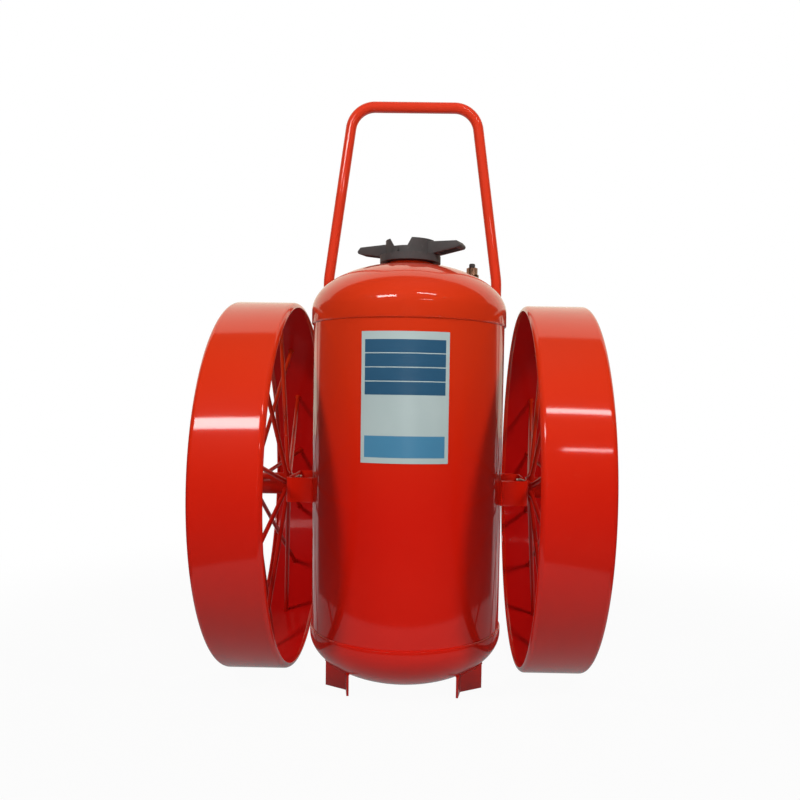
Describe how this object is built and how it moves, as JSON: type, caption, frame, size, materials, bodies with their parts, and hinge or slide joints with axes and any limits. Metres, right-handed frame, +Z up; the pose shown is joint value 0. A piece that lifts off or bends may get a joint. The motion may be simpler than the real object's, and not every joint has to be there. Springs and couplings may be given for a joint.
{
  "type": "wheeled fire extinguisher",
  "caption": "Wheeled dry-powder fire extinguisher: domed pressure tank with winged fill cap between spoked steel wheels, with a push handle, feet and a gas cylinder behind.",
  "frame": {"origin": "on the floor, under the middle of the axle line", "axes": "+Z up, +X along the axle towards the right-hand wheel as seen from the front, the tank's front faces -Y"},
  "size_m": [1.006, 1.0668, 1.678],
  "materials": {
    "red_paint": "glossy red enamel",
    "black_plastic": "matte black moulding",
    "brass": "dull brass",
    "bronze": "oiled bearing bronze",
    "zinc_steel": "zinc plated",
    "rubber": "moulded rubber",
    "grey_paint": "satin grey paint",
    "clear_lens": "clear",
    "powder": "settled pale powder"
  },
  "bodies": {
    "chassis": {"tank_wall": "red_paint", "top_head": "red_paint", "bottom_head": "red_paint", "neck_collar": "red_paint", "left_foot": "red_paint", "right_foot": "red_paint", "left_axle_bracket": "red_paint", "right_axle_bracket": "red_paint", "handle_tube": "red_paint", "left_handle_clamp": "zinc_steel", "right_handle_clamp": "zinc_steel", "left_axle": "zinc_steel", "right_axle": "zinc_steel", "left_spacer": "black_plastic", "right_spacer": "black_plastic", "left_outer_washer": "zinc_steel", "right_outer_washer": "zinc_steel", "left_axle_nut": "zinc_steel", "right_axle_nut": "zinc_steel", "relief_body": "brass", "cylinder_shelf": "red_paint", "cylinder_saddle": "red_paint", "cylinder_strap": "zinc_steel", "nitrogen_cylinder": "grey_paint", "valve_body": "brass", "lever_pin": "zinc_steel", "regulator": "brass", "gauge_case": "zinc_steel", "gauge_lens": "clear_lens", "gas_line": "zinc_steel", "gas_inlet_boss": "zinc_steel", "outlet_boss": "zinc_steel", "outlet_elbow": "zinc_steel", "siphon_tube": "zinc_steel", "powder_charge": "powder"},
    "left_wheel": {"left_wheel_band": "red_paint", "left_inner_spider": "red_paint", "left_outer_spider": "red_paint", "left_inner_bush": "bronze", "left_outer_bush": "bronze"},
    "right_wheel": {"right_wheel_band": "red_paint", "right_inner_spider": "red_paint", "right_outer_spider": "red_paint", "right_inner_bush": "bronze", "right_outer_bush": "bronze"},
    "gasket": {"cap_gasket": "rubber"},
    "cap": {"fill_cap": "black_plastic"},
    "lever": {"valve_lever": "red_paint"},
    "relief": {"relief_stem": "black_plastic"},
    "needle": {"gauge_needle": "black_plastic"}
  },
  "joints": [
    {"name": "left_wheel_spin", "type": "hinge", "parent": "chassis", "child": "left_wheel", "pos_m": [-0.417, 0, 0.5334], "axis": [1, 0, 0], "continuous": true},
    {"name": "right_wheel_spin", "type": "hinge", "parent": "chassis", "child": "right_wheel", "pos_m": [0.417, 0, 0.5334], "axis": [1, 0, 0], "continuous": true},
    {"name": "cap_lift", "type": "slide", "parent": "chassis", "child": "gasket", "axis": [0, 0, 1], "range_m": [0, 0.012]},
    {"name": "cap_turn", "type": "hinge", "parent": "gasket", "child": "cap", "pos_m": [0, -0.145, 1.197], "axis": [0, 0, 1], "range_deg": [0, 720]},
    {"name": "lever_swing", "type": "hinge", "parent": "chassis", "child": "lever", "pos_m": [0, 0.2243, 1.0973], "axis": [0, 1, 0], "range_deg": [0, 90]},
    {"name": "relief_lift", "type": "slide", "parent": "chassis", "child": "relief", "axis": [0, 0, 1], "range_m": [0, 0.003], "stiffness_N_per_m": 600},
    {"name": "gauge_turn", "type": "hinge", "parent": "chassis", "child": "needle", "pos_m": [0.05455, 0.2526, 1.0543], "axis": [0, -1, 0], "range_deg": [0, 270], "stiffness_Nm_per_rad": 0.0004}
  ],
  "couplings": [
    {"joint": "cap_lift", "follows": "cap_turn", "m_per_rad": 0.00095493}
  ]
}
